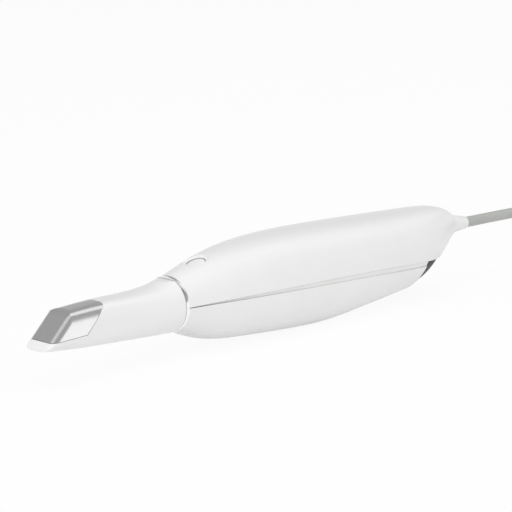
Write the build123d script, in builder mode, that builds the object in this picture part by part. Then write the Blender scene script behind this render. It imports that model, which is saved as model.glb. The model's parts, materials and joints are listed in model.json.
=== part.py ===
"""Wired intraoral scanner: a wand with a removable tip, lying on its belly.

X runs from the tip to the cable, Z is up, and the table is at Z = 0.
The origin is on the table, halfway along the wand. All sizes are in millimetres.
Sketch heights are measured from the optical axis, which runs along X through tip and handle.
"""

import os
from math import copysign, cos, log, pi, radians, sin, tan

from build123d import *

os.makedirs("parts", exist_ok=True)

# Wand
length = 273.0
axis_height = 23.0
tip_length = 77.5
ring_width = 1.8
ring_radius = 12.6
ring_proud = 0.15
joint_gap = 0.2  # visible gap between outer pieces

# Handle shells
handle_width = 42.0
crown = 22.2
belly_press = 0.3  # how much of the belly's curve is cut off flat
wall = 2.0
band_height = 2.0
band_depth = 0.5
seam_front = 0.0
seam_middle = 0.6
seam_rear = -7.8
lower_end = 35.4  # from the rear of the handle to the rear edge of the lower shell
lower_end_lean = 37.0  # degrees

# Tip
tip_wall = 1.5
panel_angle = 44.0  # slope of the front panel
panel_wall = 1.2
panel_round = 3.0  # along the panel's two long edges
panel_crown = 9.0  # between the panel and the top of the hood
lip_height = 3.0  # of the sleeve's front under the hood
hood_sill = 3.5  # lower edge of the hood, below the axis
hood_length = 35.5
hood_foot = 22.5
window_start = 6.0
window_length = 15.0
window_width = 11.0
mirror_thickness = 1.0
mirror_width = 10.4
mirror_height = 11.5

# Nose, which carries the tip
nose_reach = 30.0
nose_radius = 6.2
nose_bore = 4.8
collar_length = 14.3
collar_radius = 8.2
tip_clearance = 0.3
barrel_length = 26.0
barrel_radius = 7.4
flange_radius = 10.0
flange_thickness = 3.0
glass_thickness = 1.5
seal_section = 1.0
seal_depth = 0.9
pin_radius = 0.45
pin_length = 0.5

# Button
button_distance = 16.1  # from the front of the handle
button_radius = 4.1
button_sink = 0.4  # its top, below the floor of the dish
button_tilt = 15.0
button_travel = 0.6
button_clearance = 0.3
dish_radius = 6.7
dish_depth = 0.7
boss_radius = 7.4
boss_depth = 3.1
flange_step = 1.5
button_flange = 0.8
switch_size = 5.0
switch_height = 1.4
small_board = 0.8

# Optical frame
frame_width = 23.0
frame_drop = 12.0
frame_rise = 10.0
frame_base = 3.0
frame_wall = 4.0
focus_bay = 28.0
splitter_bay = 26.0
lens_radius = 5.5
lens_edge = 2.0
lens_bulge = 0.9
fit = 0.06
rod_radius = 1.0
rod_spacing = 18.0
carriage_length = 8.0
carriage_radius = 7.4
carriage_place = 8.0  # from the front wall of the frame
coil_length = 7.0
coil_inner = 5.0
coil_outer = 5.8
yoke_length = 9.0
yoke_floor = 2.0
yoke_gap = 0.5
yoke_wall = 0.8
splitter_size = 11.0
lamp_plate = 2.0
lamp_tube_radius = 6.4
lamp_gap = 0.7
standoff = 3.0
chip_height = 1.3

# Electronics
board_thickness = 1.6
board_length = 38.0
board_width = 24.0
board_top = -2.0
board_gap = 3.0
post_radius = 2.2
screw_radius = 0.95
screw_head_radius = 1.9
screw_head = 1.3
screw_depth = 6.0
sink_size = 18.0
sink_base = 2.0
sink_height = 10.0
fin_count = 6
fin_thickness = 1.0
blower_size = 21.0
blower_height = 6.0
blower_top = -6.0
blower_skin = 0.8
rotor_radius = 8.2
blade_count = 11

# Vent
vent_inset = 0.9
vent_wall = 1.6
slot_count = 7
slot_width = 1.4
slot_pitch = 3.0

# Cable
boot_height = 6.5
boot_droop = 5.0
boot_root_radius = 4.3
boot_end_radius = 3.1
boot_length = 10.0
boot_neck = 3.7
boot_start = 11.0  # length inside the shell
cable_radius = 2.6
hank_run = 96.0
hank_columns = 2
hank_layers = 3
hank_fold = 16.0  # radius of the innermost fold
hank_start = 136.0  # first fold's centre, from the rear of the handle
tie_width = 8.0
tie_thickness = 0.8
tail_length = 20.0
plug_length = 30.0
plug_width = 15.0
plug_height = 8.0
shell_length = 11.5
shell_width = 12.0
shell_height = 4.5
shell_sheet = 0.4

# Places along X
x_front = -length / 2
x_rear = length / 2
x_ring = x_front + tip_length
x_handle = x_ring + ring_width
handle_length = x_rear - x_handle

side = Plane(origin=(0, 0, axis_height), x_dir=(1, 0, 0), z_dir=(0, -1, 0))
level = Plane.XY.offset(axis_height)
optical_axis = Axis((0, 0, axis_height), (1, 0, 0))
wide = handle_width  # more than the half width of anything that is cut across


def station(x):
    """Plane across the wand at x, with sketch x to the side and sketch y up from the axis."""
    return Plane(origin=(x, 0, axis_height), x_dir=(0, 1, 0), z_dir=(1, 0, 0))


def oval_points(half_width, top, bottom, fullness):
    """Points of an oval that is squarer the nearer its fullness is to one; 0.707 is an ellipse."""
    middle = (top + bottom) / 2
    rise = (top - bottom) / 2
    power = 2 * log(1 / fullness) / log(2)
    points = []
    for step in range(16):
        across = round(sin(pi * step / 8), 9)
        up = round(-cos(pi * step / 8), 9)
        y = copysign(abs(across) ** power, across) * half_width
        z = copysign(abs(up) ** power, up) * rise
        points.append((y, middle + z))
    return points


def lofted(sections, inset=0.0):
    """Smooth solid through ovals given as (x, half width, top, bottom, fullness)."""
    with BuildPart() as form:
        for x, half_width, top, bottom, fullness in sections:
            with BuildSketch(station(x)):
                with BuildLine():
                    points = oval_points(half_width - inset, top - inset, bottom + inset, fullness)
                    Spline(*points, periodic=True)
                make_face()
        loft()
    return form.part


def side_zone(*lines):
    """Solid as wide as the wand over a closed outline drawn in the side view."""
    with BuildPart() as zone:
        with BuildSketch(side):
            with BuildLine():
                for line in lines:
                    add(line)
            make_face()
        extrude(amount=wide, both=True)
    return zone.part


def disc_lens(plane, radius, edge, front_bulge, rear_bulge):
    """Round lens: its axis is the plane's normal and its edge starts at the plane."""
    with BuildPart() as lens:
        with BuildSketch(Plane(plane.origin, x_dir=plane.x_dir, z_dir=-plane.y_dir)):
            with BuildLine():
                Line((0, front_bulge), (0, -edge - rear_bulge))
                if rear_bulge:
                    chord = (radius**2 + rear_bulge**2) / (2 * rear_bulge)
                    RadiusArc((0, -edge - rear_bulge), (radius, -edge), -chord)
                else:
                    Line((0, -edge), (radius, -edge))
                Line((radius, -edge), (radius, 0))
                if front_bulge:
                    chord = (radius**2 + front_bulge**2) / (2 * front_bulge)
                    RadiusArc((radius, 0), (0, front_bulge), -chord)
                else:
                    Line((radius, 0), (0, 0))
            make_face()
        revolve(axis=Axis(plane.origin, plane.z_dir))
    return lens.part


# The handle's form: share of its length, share of its half width, top, bottom, fullness.
keel = axis_height + belly_press
handle_form = [
    (0.00, ring_radius, ring_radius, -ring_radius, 0.707),
    (0.08, 0.73 * handle_width / 2, 0.76 * crown, -0.79 * keel, 0.735),
    (0.175, 0.865 * handle_width / 2, 0.915 * crown, -0.90 * keel, 0.755),
    (0.32, 0.98 * handle_width / 2, crown, -0.97 * keel, 0.765),
    (0.485, handle_width / 2, 0.98 * crown, -keel, 0.765),
    (0.58, 0.984 * handle_width / 2, 0.948 * crown, -0.935 * keel, 0.765),
    (0.67, 0.95 * handle_width / 2, 0.912 * crown, -0.865 * keel, 0.765),
    (0.74, 0.904 * handle_width / 2, 0.886 * crown, -0.81 * keel, 0.765),
    (0.81, 0.822 * handle_width / 2, 0.861 * crown, -0.73 * keel, 0.765),
    (0.855, 0.724 * handle_width / 2, 0.847 * crown, -0.59 * keel, 0.765),
    (0.895, 0.605 * handle_width / 2, 0.826 * crown, -0.402 * keel, 0.765),
    (0.94, 0.45 * handle_width / 2, 0.76 * crown, -0.165 * keel, 0.757),
    (0.97, 0.33 * handle_width / 2, 0.658 * crown, -0.02 * keel, 0.745),
    (1.00, 0.235 * handle_width / 2, 0.515 * crown, 0.08 * keel, 0.72),
]
handle_sections = [(x_handle + share * handle_length, *sizes) for share, *sizes in handle_form]
handle = lofted(handle_sections)
cavity = lofted(handle_sections[:-1], wall)
mid_wall = lofted(handle_sections, wall / 2)

# Seam between the shells, and the lower edge of the band under it
overrun = 5.0
x_seam = (x_handle - overrun, x_handle + 0.365 * handle_length, x_rear + overrun)


def seam_arc(drop_front, drop_middle, drop_rear):
    """The seam's long arc in the side view, lowered by the given amounts."""
    return ThreePointArc(
        (x_seam[0], seam_front - drop_front),
        (x_seam[1], seam_middle - drop_middle),
        (x_seam[2], seam_rear - drop_rear),
        mode=Mode.PRIVATE,
    )


def below(arc, rear_x, lean):
    """Zone under an arc that ends at a leaning rear edge."""
    foot_x = rear_x - 2 * wide * tan(radians(lean))
    fence = Polyline(
        arc @ 1,
        (x_seam[2], -2 * wide),
        (x_seam[0], -2 * wide),
        arc @ 0,
        mode=Mode.PRIVATE,
    )
    zone = side_zone(arc, fence)
    with BuildPart() as ended:
        add(zone)
        with BuildSketch(side):
            with BuildLine():
                Polyline(
                    (rear_x, 0),
                    (foot_x, -2 * wide),
                    (x_seam[0] - overrun, -2 * wide),
                    (x_seam[0] - overrun, wide),
                    (rear_x, wide),
                    close=True,
                )
            make_face()
        extrude(amount=2 * wide, both=True, mode=Mode.INTERSECT)
    return ended.part


seam = seam_arc(0, 0, 0)
lower_top = seam_arc(joint_gap, joint_gap, joint_gap)
band_low = seam_arc(joint_gap, band_height, band_height)
x_lower_end = x_rear - lower_end + 3 * tan(radians(lower_end_lean))
upper_zone = side_zone(
    seam,
    Polyline(seam @ 1, (x_seam[2], wide), (x_seam[0], wide), seam @ 0, mode=Mode.PRIVATE),
)
lower_zone = below(lower_top, x_lower_end, lower_end_lean)
band_zone = below(band_low, x_lower_end, lower_end_lean)

# Button place: a plane on the crown, tilted with the form
x_button = x_handle + button_distance
z_button = axis_height + 0.775 * crown
button_plane = Plane(
    origin=(x_button, 0, z_button),
    x_dir=(cos(radians(button_tilt)), 0, sin(radians(button_tilt))),
    z_dir=(-sin(radians(button_tilt)), 0, cos(radians(button_tilt))),
)
button_axis = Axis(button_plane.origin, button_plane.z_dir)
reach = 2 * dish_radius

dish_floor = lofted(handle_sections, dish_depth)
button_top = lofted(handle_sections, dish_depth + button_sink)

with BuildPart() as dish:
    with BuildSketch(Plane(button_plane.origin, x_dir=button_plane.x_dir, z_dir=-button_plane.y_dir)):
        with BuildLine():
            Polyline(
                (0, -boss_depth),
                (dish_radius - boss_depth, -boss_depth),
                (dish_radius + reach, reach),
                (0, reach),
                close=True,
            )
        make_face()
    revolve(axis=button_axis)
    add(dish_floor, mode=Mode.SUBTRACT)

with BuildPart() as button_boss:
    with BuildSketch(button_plane.offset(-boss_depth)):
        Circle(boss_radius)
    extrude(amount=boss_depth + reach)
    add(mid_wall, mode=Mode.INTERSECT)

# Cable boot's place: its root is on the rear of the handle, pointing a little down
x_root = x_rear + boot_root_radius * sin(radians(boot_droop))
boot_plane = Plane(
    origin=(x_root, 0, axis_height + boot_height),
    x_dir=(0, 1, 0),
    z_dir=(cos(radians(boot_droop)), 0, -sin(radians(boot_droop))),
)

# Board posts beside the button, hanging from the upper shell
board_face = boss_depth + joint_gap + button_flange + button_travel + joint_gap + switch_height
post_spread = button_radius + flange_step + button_clearance + post_radius / 2 + joint_gap

with BuildPart() as upper_shell:
    add(handle)
    add(cavity, mode=Mode.SUBTRACT)
    add(button_boss.part)
    with BuildSketch(button_plane.offset(-board_face)):
        with Locations((0, post_spread), (0, -post_spread)):
            Circle(post_radius / 2)
    extrude(amount=board_face - boss_depth)
    add(dish.part, mode=Mode.SUBTRACT)
    with BuildSketch(button_plane.offset(-2 * boss_depth)):
        Circle(button_radius + button_clearance)
    extrude(amount=2 * boss_depth + reach, mode=Mode.SUBTRACT)
    with BuildSketch(button_plane.offset(-boss_depth)):
        Circle(button_radius + flange_step + button_clearance)
    extrude(amount=-boss_depth, mode=Mode.SUBTRACT)
    with BuildSketch(boot_plane):
        Circle(boot_neck + fit)
    extrude(amount=boot_start, both=True, mode=Mode.SUBTRACT)
    add(upper_zone, mode=Mode.INTERSECT)
upper_shell.part.label = "upper_shell"
export_step(upper_shell.part, "parts/upper_shell.step")

# Optical frame's places along X
x_barrel = x_handle + barrel_length
x_focus = x_barrel + frame_wall
x_middle = x_focus + focus_bay
x_splitter = x_middle + frame_wall + splitter_bay / 2
x_back = x_middle + frame_wall + splitter_bay
frame_length = x_back + frame_wall - x_barrel
x_board = x_back + frame_wall + standoff + board_thickness + board_gap
x_blower = x_board + board_length + blower_size / 2 - 5.0
frame_posts = [(x_barrel + 14.0, 8.0), (x_middle + 22.0, 8.0)]
board_posts = [(x_board + 4.0, 9.0), (x_board + 29.0, 9.0)]
blower_posts = [(x_blower - 7.0, 7.0), (x_blower + 3.0, 7.0)]


def pairs(places):
    """Each (x, y) place and its mirror image across the wand."""
    return [(x, sign * y) for x, y in places for sign in (1, -1)]


band_outside = lofted(handle_sections, -band_depth)
band_inside = lofted(handle_sections, band_depth)
with BuildPart() as groove:
    add(band_outside)
    add(band_inside, mode=Mode.SUBTRACT)
    add(lower_zone, mode=Mode.INTERSECT)
    add(band_zone, mode=Mode.SUBTRACT)

with BuildPart() as posts:
    for places, top, radius in (
        (frame_posts, -frame_drop, post_radius + 0.4),
        (board_posts, board_top - board_thickness, post_radius),
        (blower_posts, blower_top - blower_height, post_radius),
    ):
        with BuildSketch(Plane.XY):
            with Locations(*pairs(places)):
                Circle(radius)
        extrude(amount=axis_height + top)
    add(mid_wall, mode=Mode.INTERSECT)

with BuildPart() as lower_shell:
    add(handle)
    add(cavity, mode=Mode.SUBTRACT)
    add(posts.part)
    for places, top in ((frame_posts, -frame_drop), (board_posts, board_top - board_thickness)):
        with BuildSketch(level.offset(top)):
            with Locations(*pairs(places)):
                Circle(screw_radius + fit)
        extrude(amount=-screw_depth, mode=Mode.SUBTRACT)
    add(lower_zone, mode=Mode.INTERSECT)
    add(groove.part, mode=Mode.SUBTRACT)
    with BuildSketch(Plane.XY):
        Rectangle(2 * length, 2 * wide)
    extrude(amount=-2 * wall, mode=Mode.SUBTRACT)
lower_shell.part.label = "lower_shell"
export_step(lower_shell.part, "parts/lower_shell.step")

# Dark vent behind the lower shell, set in from the form
vent_top = seam_arc(joint_gap, joint_gap, joint_gap)
vent_fence = Polyline(
    vent_top @ 1,
    (x_seam[2], -2 * wide),
    (x_seam[0], -2 * wide),
    vent_top @ 0,
    mode=Mode.PRIVATE,
)
vent_back = below(seam_arc(-wide / 2, -wide / 2, -wide / 2), x_lower_end + joint_gap, lower_end_lean)
vent_zone = side_zone(vent_top, vent_fence)
vent_outside = lofted(handle_sections, vent_inset)
vent_inside = lofted(handle_sections[:-1], vent_inset + vent_wall)
with BuildPart() as rear_vent:
    add(vent_outside)
    add(vent_inside, mode=Mode.SUBTRACT)
    add(vent_zone, mode=Mode.INTERSECT)
    add(vent_back, mode=Mode.SUBTRACT)
    with BuildSketch(station(x_lower_end)):
        with GridLocations(slot_pitch, 0, slot_count, 1):
            with Locations((0, seam_rear / 2 - 7.5)):
                SlotCenterToCenter(8.0, slot_width, rotation=90)
    extrude(amount=lower_end, mode=Mode.SUBTRACT)
rear_vent.part.label = "rear_vent"
export_step(rear_vent.part, "parts/rear_vent.step")

# Button
switch_top = -(boss_depth + joint_gap + button_flange + button_travel + joint_gap)
flange_top = -(boss_depth + joint_gap)
with BuildPart() as scan_button:
    with BuildSketch(button_plane.offset(flange_top)):
        Circle(button_radius)
    extrude(amount=-flange_top + reach)
    add(button_top, mode=Mode.INTERSECT)
    with BuildSketch(button_plane.offset(flange_top)):
        Circle(button_radius + flange_step)
    extrude(amount=-button_flange)
scan_button.part.label = "scan_button"
export_step(scan_button.part, "parts/scan_button.step")

with BuildPart() as button_switch:
    with BuildSketch(button_plane.offset(-board_face)):
        RectangleRounded(switch_size, switch_size, 0.6)
    extrude(amount=0.7 * switch_height)
    with BuildSketch(button_plane.offset(switch_top)):
        Circle(0.3 * switch_size)
    extrude(amount=-0.4 * switch_height)
button_switch.part.label = "button_switch"
export_step(button_switch.part, "parts/button_switch.step")

with BuildPart() as button_board:
    with BuildSketch(button_plane.offset(-board_face)):
        RectangleRounded(2 * button_radius, 2 * post_spread + post_radius, 1.0)
    extrude(amount=-small_board)
button_board.part.label = "button_board"
export_step(button_board.part, "parts/button_board.step")

# Front ring
with BuildPart() as front_ring:
    with BuildSketch(side):
        with BuildLine():
            Polyline(
                (x_handle, ring_radius),
                (x_handle, collar_radius + fit),
                (x_ring, collar_radius + fit),
                (x_ring, ring_radius),
            )
            ThreePointArc(
                (x_ring, ring_radius),
                (x_ring + ring_width / 2, ring_radius + ring_proud),
                (x_handle, ring_radius),
            )
        make_face()
    revolve(axis=optical_axis)
front_ring.part.label = "front_ring"
export_step(front_ring.part, "parts/front_ring.step")

# Tip: one lofted form, parted into the moulded sleeve and the metal hood
tip_half = 7.9
tip_sections = [
    (x_front - 1.0, tip_half, 8.4, 0.1 - hood_sill - lip_height, 0.83),
    (x_front + 31.0, 8.6, 9.1, -9.5, 0.82),
    (x_front + 55.0, 10.0, 9.2, -11.0, 0.785),
    (x_front + 66.0, 11.1, 9.9, -11.8, 0.75),
    (x_ring - joint_gap, ring_radius, ring_radius, -ring_radius, 0.707),
]
x_shoulder = x_ring - collar_length - pin_length - joint_gap
nose_room = 0.7  # between the nose and the channel that it stands in
channel_sections = [
    (x, half_width - tip_wall, top - tip_wall, bottom + tip_wall, fullness)
    for x, half_width, top, bottom, fullness in tip_sections[:2]
]
channel_end = nose_radius + nose_room
channel_sections.append((x_shoulder, channel_end, channel_end, -channel_end, 0.707))
panel_foot = (x_front + lip_height / tan(radians(panel_angle)), -hood_sill)
panel_slope = (cos(radians(panel_angle)), sin(radians(panel_angle)))


def panel_point(along, inward):
    """Side-view point on the front panel: distance up its slope, and into the tip."""
    return (
        panel_foot[0] + along * panel_slope[0] + inward * panel_slope[1],
        panel_foot[1] + along * panel_slope[1] - inward * panel_slope[0],
    )


def ahead_of_panel(inward):
    """Zone in front of the panel's plane, moved into the tip."""
    outline = Polyline(
        panel_point(-wide, inward),
        panel_point(wide, inward),
        panel_point(wide, -2 * wide),
        panel_point(-wide, -2 * wide),
        panel_point(-wide, inward),
        mode=Mode.PRIVATE,
    )
    return side_zone(outline)


# The panel's upper end bends over into the top of the tip by an arc that touches both
crown_lean = 2.5  # degrees, a little steeper than the top, so that the arc runs out of it
top_start, top_end = tip_sections[0], tip_sections[1]
top_slope = (top_end[2] - top_start[2]) / (top_end[0] - top_start[0])
bend = (
    panel_slope[1] - sin(radians(crown_lean)),
    cos(radians(crown_lean)) - panel_slope[0],
)
bend_foot = (panel_foot[0] + panel_crown * bend[0], panel_foot[1] + panel_crown * bend[1])
top_over_foot = top_start[2] + top_slope * (bend_foot[0] - top_start[0])
panel_run = (top_over_foot - bend_foot[1]) / (panel_slope[1] - top_slope * panel_slope[0])
bend_start = panel_point(panel_run, 0)
bend_end = (bend_foot[0] + panel_run * panel_slope[0], bend_foot[1] + panel_run * panel_slope[1])
bend_tangent = (panel_slope[0], panel_slope[1])
top_back = (bend_end[0] + 2 * length, bend_end[1] + 2 * length * tan(radians(crown_lean)))
panel_line = Line(panel_point(-wide, 0), bend_start, mode=Mode.PRIVATE)
bend_arc = TangentArc(bend_start, bend_end, tangent=bend_tangent, mode=Mode.PRIVATE)
tip_fence = Polyline(
    bend_end,
    top_back,
    (top_back[0], -2 * wide),
    (panel_line @ 0).to_tuple()[:2],
    mode=Mode.PRIVATE,
)
behind_panel = side_zone(panel_line, bend_arc, tip_fence)

# A trough along the panel rounds its two long edges; its walls open backward, clear of the tip
panel_half = tip_half + 0.2
trough_depth = 2 * wide
trough_flare = trough_depth * tan(radians(8.0))
panel_corner = panel_half - panel_round
eighth = panel_round * (1 - cos(pi / 4))
trough_plane = Plane(
    origin=(panel_foot[0], 0, axis_height + panel_foot[1]),
    x_dir=(0, 1, 0),
    z_dir=(panel_slope[0], 0, panel_slope[1]),
)
with BuildPart() as panel_trough:
    with BuildSketch(trough_plane):
        with BuildLine():
            Line((-panel_corner, 0), (panel_corner, 0))
            ThreePointArc(
                (panel_corner, 0),
                (panel_half - eighth, -eighth),
                (panel_half, -panel_round),
            )
            Polyline(
                (panel_half, -panel_round),
                (panel_half + trough_flare, -panel_round - trough_depth),
                (-panel_half - trough_flare, -panel_round - trough_depth),
                (-panel_half, -panel_round),
            )
            ThreePointArc(
                (-panel_half, -panel_round),
                (eighth - panel_half, -eighth),
                (-panel_corner, 0),
            )
        make_face()
    extrude(amount=2 * wide, both=True)

tip_outside = lofted(tip_sections)
tip_inside = lofted(channel_sections)
ahead_inside = ahead_of_panel(panel_wall)

with BuildPart() as channel:
    add(tip_inside)
    add(ahead_inside, mode=Mode.SUBTRACT)

with BuildPart() as tip_form:
    add(tip_outside)
    add(behind_panel, mode=Mode.INTERSECT)
    add(panel_trough.part, mode=Mode.INTERSECT)
    add(channel.part, mode=Mode.SUBTRACT)
    with BuildSketch(station(x_shoulder)):
        Circle(collar_radius + tip_clearance)
    extrude(amount=collar_length + overrun, mode=Mode.SUBTRACT)
    with BuildSketch(Plane.XY):
        with Locations((x_front + window_start + window_length / 2, 0)):
            RectangleRounded(window_length, window_width, 2.0)
    extrude(amount=axis_height - hood_sill - lip_height / 2, mode=Mode.SUBTRACT)


def hood_zone(grow):
    """Side-view zone of the hood, grown outward by the given amount."""
    outline = Polyline(
        (x_front - 3 * overrun, -hood_sill - grow),
        (x_front + hood_foot + grow, -hood_sill + 1.2 - grow),
        (x_front + hood_length - 4.5 + grow, 6.5),
        (x_front + hood_length + grow, 9.5),
        (x_front + hood_length + grow, wide),
        (x_front - 3 * overrun, wide),
        (x_front - 3 * overrun, -hood_sill - grow),
        mode=Mode.PRIVATE,
    )
    return side_zone(outline)


hood_inside = hood_zone(0)
hood_outside = hood_zone(joint_gap)

with BuildPart() as tip_hood:
    add(tip_form.part)
    add(hood_inside, mode=Mode.INTERSECT)
tip_hood.part.label = "tip_hood"
export_step(tip_hood.part, "parts/tip_hood.step")

with BuildPart() as tip_sleeve:
    add(tip_form.part)
    add(hood_outside, mode=Mode.SUBTRACT)
tip_sleeve.part.label = "tip_sleeve"
export_step(tip_sleeve.part, "parts/tip_sleeve.step")

mirror_foot = panel_point(1.0 + mirror_height / 2, panel_wall)
mirror_plane = Plane(
    origin=(mirror_foot[0], 0, axis_height + mirror_foot[1]),
    x_dir=(0, 1, 0),
    z_dir=(panel_slope[1], 0, -panel_slope[0]),
)
with BuildPart() as tip_mirror:
    with BuildSketch(mirror_plane):
        RectangleRounded(mirror_width, mirror_height, 3.0)
    extrude(amount=mirror_thickness)
tip_mirror.part.label = "tip_mirror"
export_step(tip_mirror.part, "parts/tip_mirror.step")

# Nose barrel and what is on it
x_nose = x_ring - nose_reach
x_collar = x_ring - collar_length
x_seal = x_ring - collar_length / 2
with BuildPart() as nose_barrel:
    with BuildSketch(side):
        with BuildLine():
            Polyline(
                (x_nose, nose_bore + 0.6),
                (x_nose, nose_radius),
                (x_collar, nose_radius),
                (x_collar, collar_radius),
                (x_handle + wall, collar_radius),
                (x_handle + wall, barrel_radius),
                (x_barrel - flange_thickness, barrel_radius),
                (x_barrel - flange_thickness, flange_radius),
                (x_barrel, flange_radius),
                (x_barrel, nose_bore),
                (x_nose + glass_thickness, nose_bore),
                (x_nose + glass_thickness, nose_bore + 0.6),
                close=True,
            )
        make_face()
    revolve(axis=optical_axis)
    with BuildSketch(side):
        with Locations((x_seal, collar_radius)):
            Rectangle(2.6 * seal_section, 2 * seal_depth)
    revolve(axis=optical_axis, mode=Mode.SUBTRACT)
nose_barrel.part.label = "nose_barrel"
export_step(nose_barrel.part, "parts/nose_barrel.step")

with BuildPart() as nose_seal:
    with BuildSketch(side):
        with Locations((x_seal, collar_radius - seal_depth + seal_section / 2 + fit)):
            Circle(seal_section / 2)
    revolve(axis=optical_axis)
nose_seal.part.label = "nose_seal"
export_step(nose_seal.part, "parts/nose_seal.step")

with BuildPart() as nose_window:
    with BuildSketch(station(x_nose)):
        Circle(nose_bore + 0.6)
    extrude(amount=glass_thickness)
nose_window.part.label = "nose_window"
export_step(nose_window.part, "parts/nose_window.step")

with BuildPart() as contact_pins:
    with BuildSketch(station(x_collar)):
        with PolarLocations((channel_end + collar_radius) / 2, 3, 60, 60):
            Circle(pin_radius)
    extrude(amount=-pin_length)
contact_pins.part.label = "contact_pins"
export_step(contact_pins.part, "parts/contact_pins.step")

# Optical frame: base plate, three walls, pedestal and sensor standoffs
wall_places = (x_barrel, x_middle, x_back)
with BuildPart() as optical_frame:
    with BuildSketch(level.offset(-frame_drop)):
        with Locations((x_barrel + frame_length / 2, 0)):
            RectangleRounded(frame_length, frame_width, 2.0)
    extrude(amount=frame_base)
    for x in wall_places:
        with BuildSketch(station(x)):
            with BuildLine():
                Polyline(
                    (-frame_width / 2, -frame_drop),
                    (frame_width / 2, -frame_drop),
                    (frame_width / 2, frame_rise - frame_wall),
                    (frame_width / 2 - frame_wall, frame_rise),
                    (-frame_width / 2 + frame_wall, frame_rise),
                    (-frame_width / 2, frame_rise - frame_wall),
                    close=True,
                )
            make_face()
        extrude(amount=frame_wall)
    with BuildSketch(level.offset(-frame_drop)):
        with Locations((x_splitter, 0)):
            Rectangle(splitter_size, splitter_size)
    extrude(amount=frame_drop - splitter_size / 2)
    with BuildSketch(station(x_back + frame_wall)):
        with GridLocations(16.0, 13.0, 2, 2):
            Circle(post_radius / 2)
    extrude(amount=standoff)
    with BuildSketch(station(x_barrel)):
        Circle(nose_bore)
    extrude(amount=frame_wall, mode=Mode.SUBTRACT)
    with BuildSketch(station(x_middle)):
        Circle(coil_inner - yoke_gap - yoke_wall)
    extrude(amount=frame_wall, mode=Mode.SUBTRACT)
    with BuildSketch(station(x_back)):
        Circle(lens_radius + fit)
    extrude(amount=frame_wall, mode=Mode.SUBTRACT)
    with BuildSketch(station(x_barrel)):
        with GridLocations(rod_spacing, 0, 2, 1):
            Circle(rod_radius + fit)
    extrude(amount=frame_wall + focus_bay + frame_wall, mode=Mode.SUBTRACT)
    with BuildSketch(level.offset(-frame_drop)):
        with Locations(*pairs(frame_posts)):
            Circle(screw_radius + 2 * fit)
    extrude(amount=frame_base, mode=Mode.SUBTRACT)
optical_frame.part.label = "optical_frame"
export_step(optical_frame.part, "parts/optical_frame.step")

with BuildPart() as guide_rods:
    with BuildSketch(station(x_barrel)):
        with GridLocations(rod_spacing, 0, 2, 1):
            Circle(rod_radius)
    extrude(amount=frame_wall + focus_bay + frame_wall)
guide_rods.part.label = "guide_rods"
export_step(guide_rods.part, "parts/guide_rods.step")

# Focus carriage on the rods, with its lens and its coil
x_carriage = x_focus + carriage_place
seat = 2.0  # lip behind the lens
with BuildPart() as focus_carriage:
    with BuildSketch(station(x_carriage)):
        Circle(carriage_radius)
        Rectangle(rod_spacing, 3 * rod_radius)
        with GridLocations(rod_spacing, 0, 2, 1):
            Circle(2.2 * rod_radius)
        Circle(coil_inner, mode=Mode.SUBTRACT)
        with GridLocations(rod_spacing, 0, 2, 1):
            Circle(rod_radius + fit, mode=Mode.SUBTRACT)
    extrude(amount=carriage_length)
    with BuildSketch(station(x_carriage)):
        Circle(lens_radius + fit)
    extrude(amount=carriage_length - seat, mode=Mode.SUBTRACT)
focus_carriage.part.label = "focus_carriage"
export_step(focus_carriage.part, "parts/focus_carriage.step")

focus_lens = disc_lens(
    station(x_carriage + carriage_length - seat - joint_gap), lens_radius, lens_edge, lens_bulge, lens_bulge
)
focus_lens.label = "focus_lens"
export_step(focus_lens, "parts/focus_lens.step")

with BuildPart() as focus_coil:
    with BuildSketch(station(x_carriage + carriage_length)):
        Circle(coil_outer)
        Circle(coil_inner, mode=Mode.SUBTRACT)
    extrude(amount=coil_length)
focus_coil.part.label = "focus_coil"
export_step(focus_coil.part, "parts/focus_coil.step")

with BuildPart() as magnet_yoke:
    with BuildSketch(station(x_middle)):
        Circle(coil_outer + yoke_gap + yoke_wall)
        Circle(coil_inner - yoke_gap - yoke_wall, mode=Mode.SUBTRACT)
    extrude(amount=-yoke_length)
    with BuildSketch(station(x_middle - yoke_floor)):
        Circle(coil_outer + yoke_gap)
        Circle(coil_inner - yoke_gap, mode=Mode.SUBTRACT)
    extrude(amount=-yoke_length, mode=Mode.SUBTRACT)
magnet_yoke.part.label = "magnet_yoke"
export_step(magnet_yoke.part, "parts/magnet_yoke.step")

# Beam splitter, and the lamp above it
with BuildPart() as beam_splitter:
    with BuildSketch(level.offset(-splitter_size / 2)):
        with Locations((x_splitter, 0)):
            Rectangle(splitter_size, splitter_size)
    extrude(amount=splitter_size)
    chamfer(beam_splitter.edges(), 0.3)
beam_splitter.part.label = "beam_splitter"
export_step(beam_splitter.part, "parts/beam_splitter.step")

lamp_bottom = splitter_size / 2 + lamp_gap
lamp_bore = lens_radius - 0.2
with BuildPart() as lamp_housing:
    with BuildSketch(level.offset(frame_rise)):
        with Locations(((x_middle + x_back + frame_wall) / 2, 0)):
            RectangleRounded(x_back + frame_wall - x_middle, frame_width - 2 * frame_wall, 1.0)
    extrude(amount=lamp_plate)
    with BuildSketch(level.offset(lamp_bottom)):
        with Locations((x_splitter, 0)):
            Circle(lamp_tube_radius)
    extrude(amount=frame_rise - lamp_bottom)
    with BuildSketch(level.offset(lamp_bottom)):
        with Locations((x_splitter, 0)):
            Circle(lamp_bore)
    extrude(amount=frame_rise, mode=Mode.SUBTRACT)
lamp_housing.part.label = "lamp_housing"
export_step(lamp_housing.part, "parts/lamp_housing.step")

with BuildPart() as pattern_plate:
    with BuildSketch(level.offset(lamp_bottom)):
        with Locations((x_splitter, 0)):
            Circle(lamp_bore - fit)
    extrude(amount=0.8)
pattern_plate.part.label = "pattern_plate"
export_step(pattern_plate.part, "parts/pattern_plate.step")

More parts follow.
